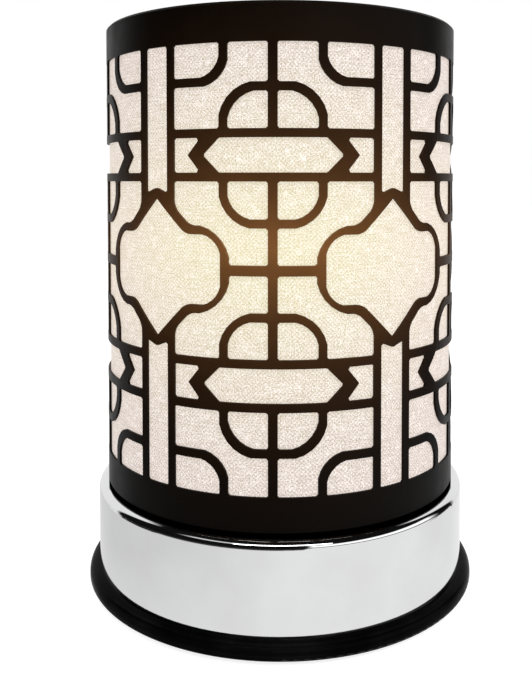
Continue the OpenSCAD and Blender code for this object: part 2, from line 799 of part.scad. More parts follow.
module lampholder() {
    neck_w = pin_d[0] + 2 * neck_slack;
    head_w = pin_d[1] + 2 * head_slack;
    foot_edge = 1;
    top_edge = 1.5;
    color([0.93, 0.92, 0.88]) difference() {
        rotate_extrude() polygon([
            [0, holder_z], [holder_d / 2 - foot_edge, holder_z], [holder_d / 2, holder_z + foot_edge],
            [holder_d / 2, holder_top - top_edge], [holder_d / 2 - top_edge, holder_top], [0, holder_top]
        ]);
        for (side = [0, 180]) rotate(side) {
            translate([0, 0, pocket_floor]) pin_slot(head_w, head_w, holder_top - lip_t - pocket_floor);
            translate([0, 0, holder_top - lip_t - cut]) pin_slot(neck_w, head_w, lip_t + 2 * cut);
            translate([holder_screw_x, 0, holder_z - cut]) cylinder(d = hole_d, h = holder_h + 2 * cut);
            translate([holder_screw_x, 0, holder_top - sink_h])
                cylinder(d = head_d + 2 * run_gap, h = sink_h + cut);
            translate([bush_bore / 4, 0, holder_z - cut]) cylinder(d = lead_hole_d, h = lead_hole_h + cut);
        }
    }
}

module lampholder_screws() {
    color([0.6, 0.6, 0.62]) around([0, 180], holder_screw_x)
        translate([0, 0, holder_top - sink_h]) pan_screw(holder_h - sink_h + bracket_t + screw_tail);
}

module lampholder_contacts() {
    leaf_t = 0.5;
    leaf = [4, 3.2];
    rise = head_bottom - run_gap - pocket_floor;
    color([0.8, 0.66, 0.32]) for (side = [0, 180]) rotate(side)
        translate([0, pin_pitch / 2 + leaf.y / 2, pocket_floor])
        rotate([90, 0, 0]) linear_extrude(leaf.y) polygon([
            [-leaf.x / 2, 0], [leaf.x / 2, 0], [leaf.x / 2, rise], [-leaf.x / 2, rise],
            [-leaf.x / 2, rise - leaf_t], [leaf.x / 2 - leaf_t, rise - leaf_t],
            [leaf.x / 2 - leaf_t, leaf_t], [-leaf.x / 2, leaf_t]
        ]);
}

// Pieces of the spot lamp
module lamp_cap() {
    color([0.9, 0.89, 0.85]) rotate_extrude() polygon(rounded([
        [0, lamp_z, 0], [cap_r - 2, lamp_z, 0.5], [cap_r - 0.8, lamp_z + 4, 2], [cap_r, lamp_z + cap_h, 0],
        [0, lamp_z + cap_h, 0]
    ]));
}

module lamp_pins() {
    color([0.75, 0.75, 0.74]) for (side = [-1, 1]) translate([0, side * pin_pitch / 2, 0]) {
        translate([0, 0, head_bottom]) cylinder(d = pin_d[1], h = head_top - head_bottom);
        translate([0, 0, head_top - seam]) cylinder(d = pin_d[0], h = lamp_z - head_top + seam);
    }
}

module lamp_capsule() {
    low = lamp_z + cap_h;
    top = lamp_top - front_lip_h - capsule_room;
    color([0.95, 0.95, 0.9]) rotate_extrude() polygon(rounded([
        [0, low, 0], [capsule_r, low, 0], [capsule_r, top, capsule_r - 0.5], [0, top, 0]
    ]));
}

module lamp_reflector() {
    steps = 8;
    low = lamp_z + cap_h;
    high = lamp_top - front_lip_h;
    neck_r = cap_r - base_gap;
    bowl_r = lamp_d / 2 - 0.8;
    function wall_r(t, r_low, r_high) = r_low + (r_high - r_low) * sqrt(t);
    color([0.8, 0.8, 0.82]) rotate_extrude() polygon(concat(
        [for (i = [0:steps]) [wall_r(i / steps, neck_r, bowl_r), low + (high - low) * i / steps]],
        [[lamp_d / 2, high], [lamp_d / 2, lamp_top], [lamp_d / 2 - front_ledge, lamp_top],
         [lamp_d / 2 - front_ledge, front_z], [lamp_d / 2 - front_ledge - 1, front_z]],
        [for (i = [steps:-1:0])
            [wall_r(i / steps, neck_r, bowl_r) - bulb_wall, low + (high - low) * i / steps]]
    ));
}

module lamp_front_glass() {
    color([0.9, 0.92, 0.93]) translate([0, 0, front_z])
        cylinder(r = lamp_d / 2 - front_ledge - seat_gap, h = front_t);
}

// Pieces of the shade
module shade_sleeve() {
    hem_r = 0.7;
    wall_r = shade_r - sheet_t;
    color([0.13, 0.1, 0.08]) difference() {
        rotate_extrude() polygon(rounded([
            [wall_r, deck_z, 0], [shade_r, deck_z, 0],
            [shade_r, rim_z, hem_r], [shade_r - hem_w, rim_z, hem_r],
            [shade_r - hem_w, rim_z - hem_h, 0], [wall_r, rim_z - hem_h, 0]
        ]));
        for (k = [0:panels - 1]) rotate(360 * k / panels) panel_windows();
    }
}

module fabric_liner() {
    color([0.96, 0.93, 0.88]) rotate_extrude()
        translate([liner_r - liner_t, deck_z]) square([liner_t, shade_h - hem_h - nest_gap]);
}

module shade_foot_ring() {
    leg_drop = 2;
    leg_h = band_h - leg_drop;
    foot_w = 5;
    ear_w = 10;
    color([0.6, 0.6, 0.61]) difference() {
        union() {
            rotate_extrude() polygon([
                [ring_r - foot_w, deck_z], [ring_r, deck_z], [ring_r, deck_z + leg_h],
                [ring_r - ring_t, deck_z + leg_h], [ring_r - ring_t, deck_z + ring_t],
                [ring_r - foot_w, deck_z + ring_t]
            ]);
            for (a = post_angles) rotate(a) translate([0, 0, deck_z]) {
                translate([post_ring, 0, 0]) cylinder(d = ear_w, h = ring_t);
                translate([post_ring, -ear_w / 2, 0]) cube([ring_r - foot_w - post_ring + 1, ear_w, ring_t]);
            }
        }
        translate([0, 0, deck_z - cut]) around(post_angles, post_ring)
            cylinder(d = hole_d, h = ring_t + 2 * cut);
    }
}

module shade_screws() {
    color([0.6, 0.6, 0.62]) around(post_angles, post_ring)
        translate([0, 0, deck_z + ring_t]) pan_screw(ring_t + drum_t + deck_bite);
}

module dish_ring() {
    inner = ring_r - shelf_w;
    skirt = 2;
    top = rim_z - hem_h - nest_gap;
    color([0.2, 0.19, 0.18]) rotate_extrude() polygon([
        [inner, shelf_z - skirt], [inner + ring_t, shelf_z - skirt], [inner + ring_t, shelf_z - ring_t],
        [ring_r, shelf_z - ring_t], [ring_r, top], [ring_r - ring_t, top],
        [ring_r - ring_t, shelf_z], [inner, shelf_z]
    ]);
}

module glass_dish() {
    bowl_gap = 1;
    bowl_flare = 12;
    bowl_round = 8;
    edge_r = 1.1;
    mouth = ring_r - shelf_w - bowl_gap;
    floor_r = mouth - bowl_flare;
    floor_z = lip_z - bowl_depth;
    color([0.85, 0.92, 0.93]) rotate_extrude() polygon(rounded([
        [0, floor_z, 0], [floor_r, floor_z, bowl_round], [mouth, lip_z, edge_r], [dish_r, lip_z, edge_r],
        [dish_r, lip_z + glass_t, edge_r], [mouth - 1.5, lip_z + glass_t, 2 * edge_r],
        [floor_r - 1, floor_z + glass_t, bowl_round - 1], [0, floor_z + glass_t, 0]
    ]));
}

base_flange();
base_shell();
bottom_plate();
rubber_feet();
cover_screws();
standoff_posts();
cord_grommet();
terminal_block();
terminal_screws();
dimmer_case();
dimmer_lid();
dimmer_board();
touch_chip();
triac();
capacitor();
touch_tag();
touch_lead();
lamp_leads();
supply_lead();
lead_bush();
lampholder_bracket();
bracket_screws();
bracket_nuts();
lampholder();
lampholder_screws();
lampholder_contacts();
lamp_cap();
lamp_pins();
lamp_capsule();
lamp_reflector();
lamp_front_glass();
shade_sleeve();
fabric_liner();
shade_foot_ring();
shade_screws();
dish_ring();
glass_dish();
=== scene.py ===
"""Looks of the electric wax warmer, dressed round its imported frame. Metres, in the frame's own axes."""

import math

import bmesh
import bpy
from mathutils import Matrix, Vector


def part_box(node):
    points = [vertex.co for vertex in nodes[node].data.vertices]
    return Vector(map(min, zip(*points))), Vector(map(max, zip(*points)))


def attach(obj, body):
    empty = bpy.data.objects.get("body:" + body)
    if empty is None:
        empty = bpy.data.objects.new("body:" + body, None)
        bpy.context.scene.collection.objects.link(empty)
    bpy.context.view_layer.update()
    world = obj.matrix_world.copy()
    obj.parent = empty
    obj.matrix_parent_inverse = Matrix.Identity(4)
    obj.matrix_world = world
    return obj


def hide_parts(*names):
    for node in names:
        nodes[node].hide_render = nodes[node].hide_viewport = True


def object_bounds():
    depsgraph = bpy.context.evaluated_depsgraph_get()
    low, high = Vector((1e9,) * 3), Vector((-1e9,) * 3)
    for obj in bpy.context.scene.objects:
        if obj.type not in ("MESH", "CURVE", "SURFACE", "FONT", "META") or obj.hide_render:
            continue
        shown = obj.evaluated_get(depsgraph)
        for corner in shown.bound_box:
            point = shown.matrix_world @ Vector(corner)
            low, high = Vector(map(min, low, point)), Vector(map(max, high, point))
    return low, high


MM = 0.001

# Photograph's frame and camera
IMAGE_W = 532
IMAGE_H = 676
SENSOR_W = 36.0
FOCAL_PX = 836.1
OPTICAL_CENTRE_PX = (280.0, 206.6)
CAMERA_DISTANCE = 0.28175
CAMERA_HEIGHT = 0.13046
CAMERA_AZIMUTH = math.radians(1.964)
CAMERA_PITCH = math.radians(1.867)
CLIP_START = 0.01

# Range in which most values of a noise lie
NOISE_RANGE = (0.3, 0.7)

# Cloth of the liner
LINER_COLUMNS = 360
LINER_ROWS = 96
LINER_SEAM = 0.3 * MM
LINER_THICKNESS = 0.4 * MM
THREAD_PITCH = 0.62 * MM

# Relief of the cloth's weave, threads and specks, the share of its glints, and the range of their sum
WEAVE_RELIEF = 0.16
WEFT_RELIEF = 0.12
WARP_RELIEF = 0.1
SPECK_RELIEF = 0.42
GLINT_RANGE = (0.72, 0.95)
GLINT_SHARE = 0.25
RELIEF_RANGE = (-0.35, 0.45)

# Colour of the cloth, and tones of the lamp's light painted into it as a glow, with painted shade and glints
# of its threads, far from the lamp and near it
CLOTH_DARK = (0.08, 0.067, 0.06)
CLOTH_PALE = (0.36, 0.335, 0.325)
LIGHT_FAR = (0.63, 0.555, 0.512)
LIGHT_NEAR_SIDE = (0.735, 0.65, 0.535)
LIGHT_NEAR_FRONT = (0.735, 0.68, 0.49)
SHADOW_FAR = (0.69, 0.65, 0.625)
SHADOW_NEAR = (0.90, 0.88, 0.61)
PAINTED_GLINT_FAR = (1.18, 1.20, 1.27)
PAINTED_GLINT_NEAR = (1.06, 1.08, 1.31)

# Colour of the shade's near-black lacquer, of the lamp's warm glow painted on it, and of a painted highlight
# along cut edges, far from the lamp and near it
LACQUER_FAR = (0.0006, 0.0005, 0.0004)
LACQUER_PAINTED_GLOW = (0.182, 0.0755, 0.0228)
EDGE_HIGHLIGHT_FAR = (0.012, 0.009, 0.007)
EDGE_HIGHLIGHT_NEAR = (0.46, 0.25, 0.10)
EDGE_HIGHLIGHT_SHARE = 0.8
EDGE_RADIUS = 0.3 * MM
EDGE_LEAN = (0.75, 0.985)
LACQUER_GLOSS = 0.045

# Painted shadow: a dark line along the foot of the shade, for a shaded gap under it
PAINTED_GAP_SHADOW = 1.1 * MM
PAINTED_GAP_SHADOW_EDGE = 0.25 * MM

# Reach of the lamp's painted warm glow up and down the shade, on the cloth and on the bars, and its share at
# the sides of the shade
GLOW_RISE = 4.2 * MM
GLOW_REACH = 42 * MM
GLOW_FALL = 1.5
GLOW_ASIDE = 0.45
BAR_GLOW_REACH = 20 * MM
BAR_GLOW_FALL = 1.1
BAR_GLOW_ASIDE = 0.22
FACING_RANGE = (0.62, 1.0)

# Rings and frost of the lamp's glass and quartz, and tones of the lamp's light in them
LENS_PITCH = 2.4 * MM
LENS_SHARE = 0.05
FROST_SHARE = 0.06
LAMP_MIDDLE = (1.0, 0.95, 0.82)
LAMP_RIM = (0.74, 0.56, 0.33)
QUARTZ_RIM = (0.95, 0.82, 0.58)

# Normals that lean less than this from a radius belong to a face that is round about Z
ROUND_ENOUGH = math.cos(math.radians(16))

# Plain finishes: name, two colours, range of roughness, grain and relief in mm, metal or not
PLAIN_FINISHES = {
    "zinc_steel": ("zinc_plate", (0.62, 0.62, 0.6), (0.5, 0.51, 0.53), (0.24, 0.42), 0.5, 0.02, 1.0),
    "reflector_glass": ("reflector", (0.84, 0.85, 0.88), (0.72, 0.74, 0.8), (0.06, 0.14), 1.5, 0.0, 1.0),
    "brass": ("brass", (0.78, 0.56, 0.22), (0.62, 0.44, 0.18), (0.22, 0.4), 0.4, 0.01, 1.0),
    "plate_paint": ("plate_paint", (0.02, 0.02, 0.022), (0.012, 0.012, 0.013), (0.42, 0.6), 0.4, 0.04),
    "rubber": ("rubber", (0.016, 0.016, 0.016), (0.024, 0.024, 0.023), (0.7, 0.9), 0.3, 0.05),
    "terminal_plastic": ("terminal_plastic", (0.8, 0.79, 0.72), (0.72, 0.71, 0.64), (0.35, 0.5), 0.5),
    "case_plastic": ("case_plastic", (0.028, 0.028, 0.03), (0.02, 0.02, 0.022), (0.45, 0.62), 0.35, 0.06),
    "chip_black": ("chip_epoxy", (0.014, 0.014, 0.015), (0.022, 0.022, 0.023), (0.5, 0.65), 0.15, 0.02),
    "film_capacitor": ("film_capacitor", (0.3, 0.03, 0.022), (0.24, 0.022, 0.018), (0.25, 0.4), 0.5),
    "red_insulation": ("red_insulation", (0.5, 0.02, 0.018), (0.4, 0.016, 0.014), (0.3, 0.45), 0.4),
    "white_sleeving": ("white_sleeving", (0.8, 0.77, 0.7), (0.68, 0.65, 0.58), (0.6, 0.8), 0.3, 0.08),
    "black_insulation": ("black_insulation", (0.02, 0.02, 0.02), (0.03, 0.03, 0.03), (0.35, 0.5), 0.4),
    "silicone": ("silicone", (0.7, 0.68, 0.62), (0.62, 0.6, 0.54), (0.5, 0.65), 0.5),
    "ceramic": ("ceramic", (0.82, 0.8, 0.75), (0.74, 0.72, 0.66), (0.4, 0.6), 0.5, 0.03),
}

# What gloss mirrors, by flat direction (X to the right, Y to the back) and by rise
BACKDROP_TURN = 0.164
BACKDROP_EDGE = (0.448, 0.518)
BACKDROP_TOP = (0.70, 0.78)
WALL_EDGE = (0.30, 0.36)
WALL_BACK = (0.2, 0.35)
WALL_FOOT = (0.09, 0.14)
WALL_TOP = (0.42, 0.50)
WALL_STRENGTH = 1.5
STRIP_FRONT = (-0.5, -0.3)
STRIP_EDGE = (0.27, 0.35)
STRIP_FOOT = (0.60, 0.66)
STRIP_TOP = (0.71, 0.80)
STRIP_STRENGTH = 0.95
DARK_ROOM = 0.006

# Level of the soft light from all round
SOFT_LIGHT = 0.52

# Floor, with its greys for light, for the camera and through glass, and in gloss
FLOOR_RADIUS = 4.0
FLOOR_SEGMENTS = 96
PAPER = (0.8, 0.8, 0.8)
PAPER_SEEN = (0.4, 0.4, 0.4)
PAPER_MIRRORED = (0.03, 0.03, 0.03)
PAPER_GLOW = 0.84

# What gloss mirrors of the floor: close to the base its own tone by X and by Y, beyond that the surroundings
CLOSE_BY = (0.16, 0.20)
CLOSE_TONE_X = (0.80, 1.0, -0.09, 0.01)
CLOSE_TONE_Y = (1.0, 0.92, -0.05, 0.0)
BACKDROP_ON_FLOOR = 0.92
FROM_FRONT_OF_BASE = (0, 0.06, 0)

# Lamps: place, width and height, watts, and whether gloss mirrors them
SOFTBOXES = {
    "key": ((0.68, -0.62, 0.95), (0.7, 0.7), 6.5, False),
    "fill": ((-0.7, -0.5, 0.85), (0.7, 0.7), 1.6, False),
    "back": ((0.0, 0.9, 0.9), (0.8, 0.8), 3.0, True),
    "top": ((0.05, -0.75, 0.68), (0.9, 0.14), 2.4, True),
}

BLACK = (0.0, 0.0, 0.0)
WHITE = (1.0, 1.0, 1.0)

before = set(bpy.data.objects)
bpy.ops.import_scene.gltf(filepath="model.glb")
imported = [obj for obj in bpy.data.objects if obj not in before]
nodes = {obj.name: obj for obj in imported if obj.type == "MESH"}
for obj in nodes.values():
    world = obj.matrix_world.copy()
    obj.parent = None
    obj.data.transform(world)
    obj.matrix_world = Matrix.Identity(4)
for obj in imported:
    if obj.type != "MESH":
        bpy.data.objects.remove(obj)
cad_low, cad_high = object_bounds()


# Node helpers
def new_material(name):
    """A material with a Principled BSDF, as the material, its tree and the shader."""
    mat = bpy.data.materials.new(name)
    mat.use_nodes = True
    return mat, mat.node_tree, mat.node_tree.nodes["Principled BSDF"]


def add(tree, kind, settings=None, inputs=None):
    """A node of a kind, with its settings, and values or sockets for its inputs."""
    node = tree.nodes.new(kind)
    for key, value in (settings or {}).items():
        setattr(node, key, value)
    connect(tree, node, inputs or {})
    return node


def connect(tree, node, inputs):
    """Sets or links inputs of a node, each by its name or its number."""
    for key, value in inputs.items():
        socket = node.inputs[key]
        if isinstance(value, bpy.types.NodeSocket):
            tree.links.new(value, socket)
        else:
            socket.default_value = value


def math_node(tree, operation, *values):
    """The result of an operation on one or two values or sockets."""
    return add(tree, "ShaderNodeMath", {"operation": operation}, dict(enumerate(values))).outputs[0]


def product(tree, first, *others):
    """Values or sockets multiplied together."""
    for other in others:
        first = math_node(tree, "MULTIPLY", first, other)
    return first


def total(tree, first, *others):
    """Values or sockets added together."""
    for other in others:
        first = math_node(tree, "ADD", first, other)
    return first


def vector_node(tree, operation, *vectors):
    """A node that works on one or two vectors."""
    return add(tree, "ShaderNodeVectorMath", {"operation": operation}, dict(enumerate(vectors)))


def axis(tree, vector, name):
    """One of the three values of a vector."""
    return add(tree, "ShaderNodeSeparateXYZ", inputs={0: vector}).outputs[name]


def object_place(tree):
    """The place on a piece, in its own axes."""
    return add(tree, "ShaderNodeTexCoord").outputs["Object"]


def noise(tree, place, size, detail=2.0, stretch=(1, 1, 1)):
    """Noise whose lumps are about one size across, drawn out along an axis by a small stretch value."""
    mapped = add(tree, "ShaderNodeMapping", inputs={"Vector": place, "Scale": stretch}).outputs[0]
    made = add(tree, "ShaderNodeTexNoise", inputs={"Vector": mapped, "Scale": 1 / size, "Detail": detail})
    return made.outputs["Fac"]


def spread(tree, value, low, high, from_low=NOISE_RANGE[0], from_high=NOISE_RANGE[1]):
    """A value carried from one range, by default that of a noise, to another and held at its ends."""
    inputs = {"Value": value, "From Min": from_low, "From Max": from_high, "To Min": low, "To Max": high}
    return add(tree, "ShaderNodeMapRange", inputs=inputs).outputs[0]


def rising(tree, value, over, top=1.0):
    """0 before a range of the value and a top after it."""
    return spread(tree, value, 0.0, top, *over)


def falling(tree, value, over):
    """1 before a range of the value and 0 after it."""
    return spread(tree, value, 1.0, 0.0, *over)


def rgba(colour):
    """A colour for a socket. A socket stays as it is."""
    return (*colour, 1.0) if isinstance(colour, tuple) else colour


def blend_colours(tree, factor, first, second, mode="MIX"):
    """Two colours blended by a factor."""
    node = add(tree, "ShaderNodeMix", {"data_type": "RGBA", "blend_type": mode})
    connect(tree, node, {0: factor, 6: rgba(first), 7: rgba(second)})
    return node.outputs[2]


def blend_values(tree, factor, first, second):
    """Two values blended by a factor."""
    return add(tree, "ShaderNodeMix", {"data_type": "FLOAT"}, {0: factor, 2: first, 3: second}).outputs[0]


def bump(tree, height, strength, distance, normal=None):
    """A normal that follows a relief, on top of another normal where there is one."""
    inputs = {"Height": height, "Strength": strength, "Distance": distance}
    if normal is not None:
        inputs["Normal"] = normal
    return add(tree, "ShaderNodeBump", inputs=inputs).outputs[0]


def level(tree, place):
    """The flat part of a place or a direction: its unit direction and its length."""
    flat = vector_node(tree, "MULTIPLY", place, (1, 1, 0)).outputs[0]
    way = vector_node(tree, "NORMALIZE", flat).outputs[0]
    return way, vector_node(tree, "LENGTH", flat).outputs["Value"]


def height_bell(tree, place, middle, reach, power):
    """1 at the lamp's height, falling off up and down."""
    away = math_node(tree, "ABSOLUTE", math_node(tree, "SUBTRACT", axis(tree, place, "Z"), middle))
    fall = math_node(tree, "POWER", math_node(tree, "DIVIDE", away, reach), power)
    return math_node(tree, "EXPONENT", product(tree, fall, -1.0))


def broadside(tree, place, aside):
    """Share of the painted glow round the shade: 1 at the front and the back of the shade, less at its sides.
    """
    facing = math_node(tree, "ABSOLUTE", axis(tree, level(tree, place)[0], "Y"))
    return spread(tree, facing, aside, 1.0, *FACING_RANGE)


def painted_glow_share(tree, place, middle, reach, power, aside):
    """Share of the lamp's painted warm glow at a place on the shade."""
    return product(tree, height_bell(tree, place, middle, reach, power), broadside(tree, place, aside))


def near_edges(tree, smooth):
    """1 along the edges that a bevel rounds, 0 on flat faces."""
    flat = add(tree, "ShaderNodeNewGeometry").outputs["Normal"]
    return falling(tree, vector_node(tree, "DOT_PRODUCT", smooth, flat).outputs["Value"], EDGE_LEAN)


# Materials
def grained(name, colour, shade, rough, grain_mm, relief_mm=0.0, metallic=0.0):
    """A finish with mottled colour, uneven gloss and a fine grain. rough is a range."""
    mat, tree, shader = new_material(name)
    place = object_place(tree)
    grain = grain_mm * MM
    mottle = noise(tree, place, size=12 * grain, detail=3.0)
    fine = noise(tree, place, size=grain)
    connect(tree, shader, {
        "Base Color": blend_colours(tree, spread(tree, mottle, 0.0, 1.0), colour, shade),
        "Metallic": metallic,
        "Roughness": spread(tree, fine, *rough),
        "Normal": bump(tree, fine, strength=0.4, distance=relief_mm * MM),
    })
    return mat


def bronze_paint(middle, foot):
    """Satin near-black lacquer with painted light: a warm brown glow painted at the lamp's height, a painted
    highlight along cut edges, and a painted shadow, dull black, along the foot of the shade."""
    mat, tree, shader = new_material("dark_lacquer_painted_glow")
    place = object_place(tree)
    mottle = noise(tree, place, size=9 * MM, detail=3.0)
    peel = noise(tree, place, size=0.8 * MM, detail=1.0)
    # Painted light: the lamp's warm glow painted into the lacquer's colour, by height and by place round the
    # shade.
    bell = painted_glow_share(tree, place, middle, BAR_GLOW_REACH, BAR_GLOW_FALL, BAR_GLOW_ASIDE)
    painted_glow = product(tree, bell, spread(tree, mottle, 0.9, 1.08))
    lacquer = blend_colours(tree, painted_glow, LACQUER_FAR, LACQUER_PAINTED_GLOW)
    rounded = add(tree, "ShaderNodeBevel", {"samples": 4}, {"Radius": EDGE_RADIUS}).outputs[0]
    # Painted highlight: a paler, warmer colour along the rounded cut edges, brighter near the lamp.
    edge_highlight = blend_colours(tree, painted_glow, EDGE_HIGHLIGHT_FAR, EDGE_HIGHLIGHT_NEAR)
    # Painted shadow: black without gloss along the foot of the shade, for a shaded gap under it.
    shadow_top = foot + PAINTED_GAP_SHADOW
    above_painted_shadow = rising(tree, axis(tree, place, "Z"), (shadow_top, shadow_top + PAINTED_GAP_SHADOW_EDGE))
    painted = blend_colours(tree, product(tree, near_edges(tree, rounded), EDGE_HIGHLIGHT_SHARE), lacquer, edge_highlight)
    connect(tree, shader, {
        "Base Color": blend_colours(tree, above_painted_shadow, BLACK, painted),
        "Roughness": spread(tree, mottle, 0.36, 0.46),
        "Specular IOR Level": product(tree, above_painted_shadow, LACQUER_GLOSS),
        "Normal": bump(tree, peel, strength=0.12, distance=0.02 * MM, normal=rounded),
    })
    return mat


def chrome():
    """Chromium plate with faint waviness from the pressing and fine polishing marks."""
    mat, tree, shader = new_material("chrome_plate")
    place = object_place(tree)
    wave = noise(tree, place, size=30 * MM, detail=1.0)
    marks = noise(tree, place, size=1.2 * MM, stretch=(1, 1, 0.08))
    haze = spread(tree, noise(tree, place, size=14 * MM, detail=3.0), 0.0, 1.0)
    connect(tree, shader, {
        "Base Color": blend_colours(tree, haze, (0.74, 0.745, 0.75), (0.70, 0.70, 0.70)),
        "Metallic": 1.0,
        "Roughness": spread(tree, marks, 0.03, 0.07),
        "Normal": bump(tree, wave, strength=0.10, distance=0.25 * MM),
    })
    return mat


def black_flange():
    """Black moulded plastic, faintly paler and rougher in rings round the base, in patches."""
    mat, tree, shader = new_material("black_moulding")
    place = object_place(tree)
    radius = level(tree, place)[1]
    ring_place = add(tree, "ShaderNodeCombineXYZ", inputs={0: radius, 1: axis(tree, place, "Z")}).outputs[0]
    rings = spread(tree, noise(tree, ring_place, size=0.7 * MM), 0.0, 1.0)
    blotch = spread(tree, noise(tree, place, size=16 * MM, detail=3.0), 0.0, 1.0)
    grain = noise(tree, place, size=0.35 * MM, detail=1.0)
    ringed_patches = product(tree, rings, blotch)
    connect(tree, shader, {
        "Base Color": blend_colours(tree, ringed_patches, (0.0005, 0.0005, 0.0005), (0.006, 0.006, 0.006)),
        "Roughness": spread(tree, ringed_patches, 0.2, 0.5, 0.0, 1.0),
        "Specular IOR Level": 0.012,
        "Normal": bump(tree, grain, strength=0.15, distance=0.03 * MM),
    })
    return mat


def liner_fabric(middle):
    """Cream plain-weave cloth with paler glinting threads, and the lamp's light painted into it as a glow,
    with painted shade and glints of the threads in that glow.
    """
    mat, tree, shader = new_material("liner_cloth")
    place = object_place(tree)
    uv = add(tree, "ShaderNodeUVMap", {"uv_map": "cloth"}).outputs[0]
    turns = [product(tree, axis(tree, uv, name), math.pi / THREAD_PITCH) for name in "XY"]
    weave = product(tree, *[math_node(tree, "SINE", turn) for turn in turns])
    weft = noise(tree, uv, size=THREAD_PITCH, stretch=(0.12, 1.1, 1))
    warp = noise(tree, uv, size=THREAD_PITCH, stretch=(1.1, 0.16, 1))
    speck = noise(tree, uv, size=0.55 * THREAD_PITCH, detail=1.0)
    cell = add(tree, "ShaderNodeTexVoronoi", inputs={"Vector": uv, "Scale": 1 / (1.5 * THREAD_PITCH)})
    glint = rising(tree, cell.outputs["Color"], GLINT_RANGE)
    relief = total(
        tree, product(tree, weave, WEAVE_RELIEF), spread(tree, weft, -WEFT_RELIEF, WEFT_RELIEF),
        spread(tree, warp, -WARP_RELIEF, WARP_RELIEF), spread(tree, speck, -SPECK_RELIEF, SPECK_RELIEF))
    light = rising(tree, total(tree, relief, product(tree, glint, GLINT_SHARE)), RELIEF_RANGE)
    bell = painted_glow_share(tree, place, middle, GLOW_REACH, GLOW_FALL, GLOW_ASIDE)
    near_light = blend_colours(tree, broadside(tree, place, 0.0), LIGHT_NEAR_SIDE, LIGHT_NEAR_FRONT)
    near_lamp = height_bell(tree, place, middle, GLOW_REACH, GLOW_FALL)
    painted_glow_tone = blend_colours(tree, near_lamp, LIGHT_FAR, near_light)
    shadow = blend_colours(tree, bell, SHADOW_FAR, SHADOW_NEAR)
    painted_glints = blend_colours(tree, bell, PAINTED_GLINT_FAR, PAINTED_GLINT_NEAR)
    shining = blend_colours(tree, light, shadow, painted_glints)
    connect(tree, shader, {
        "Base Color": blend_colours(tree, light, CLOTH_DARK, CLOTH_PALE),
        "Roughness": 0.7,
        "Specular IOR Level": 0.25,
        "Sheen Weight": 0.12,
        "Sheen Roughness": 0.4,
        # Painted glow: the lamp's light, with the threads' painted shade and glints, given as emission.
        "Emission Color": blend_colours(tree, 1.0, painted_glow_tone, shining, "MULTIPLY"),
        "Emission Strength": 1.0,
        "Normal": bump(tree, relief, strength=0.35, distance=0.08 * MM),
    })
    return mat


def dish_glass():
    """Pressed glass with a faint ripple."""
    mat, tree, shader = new_material("dish_glass")
    ripple = noise(tree, object_place(tree), size=9 * MM)
    connect(tree, shader, {
        "Base Color": rgba((0.96, 0.99, 0.985)),
        "Transmission Weight": 1.0,
        "IOR": 1.5,
        "Roughness": spread(tree, ripple, 0.02, 0.06),
        "Normal": bump(tree, ripple, strength=0.1, distance=0.1 * MM),
    })
    return mat


def glowing(name, middle, rim, reach):
    """Frosted quartz or glass with the lamp's light in it: pale over the burner, warmer towards its rim."""
    mat, tree, shader = new_material(name)
    place = object_place(tree)
    frost = noise(tree, place, size=1.5 * MM)
    away = level(tree, place)[1]
    rings = math_node(tree, "SINE", product(tree, away, math.tau / LENS_PITCH))
    outward = total(tree, rising(tree, away, (0.1 * reach, reach)), product(tree, rings, LENS_SHARE),
                    spread(tree, frost, -FROST_SHARE, FROST_SHARE))
    connect(tree, shader, {
        "Base Color": blend_colours(tree, frost, (0.10, 0.098, 0.09), (0.14, 0.137, 0.128)),
        "Roughness": spread(tree, frost, 0.15, 0.3),
        "Emission Color": blend_colours(tree, outward, middle, rim),
        "Emission Strength": 0.9,
        "Normal": bump(tree, rings, strength=0.3, distance=0.15 * MM),
    })
    return mat


def board_laminate():
    """Green solder mask over copper tracks."""
    mat, tree, shader = new_material("board_laminate")
    place = object_place(tree)
    track = add(tree, "ShaderNodeTexBrick", {"offset": 0.5}, {
        "Vector": place,
        "Scale": 220.0,
        "Mortar Size": 0.06,
        "Color1": rgba((0.012, 0.10, 0.035)),
        "Color2": rgba((0.010, 0.085, 0.03)),
        "Mortar": rgba((0.03, 0.19, 0.07)),
    })
    connect(tree, shader, {
        "Base Color": track.outputs["Color"],
        "Roughness": spread(tree, noise(tree, place, size=2 * MM), 0.28, 0.42),
        "Normal": bump(tree, track.outputs["Fac"], strength=0.3, distance=0.05 * MM),
    })
    return mat


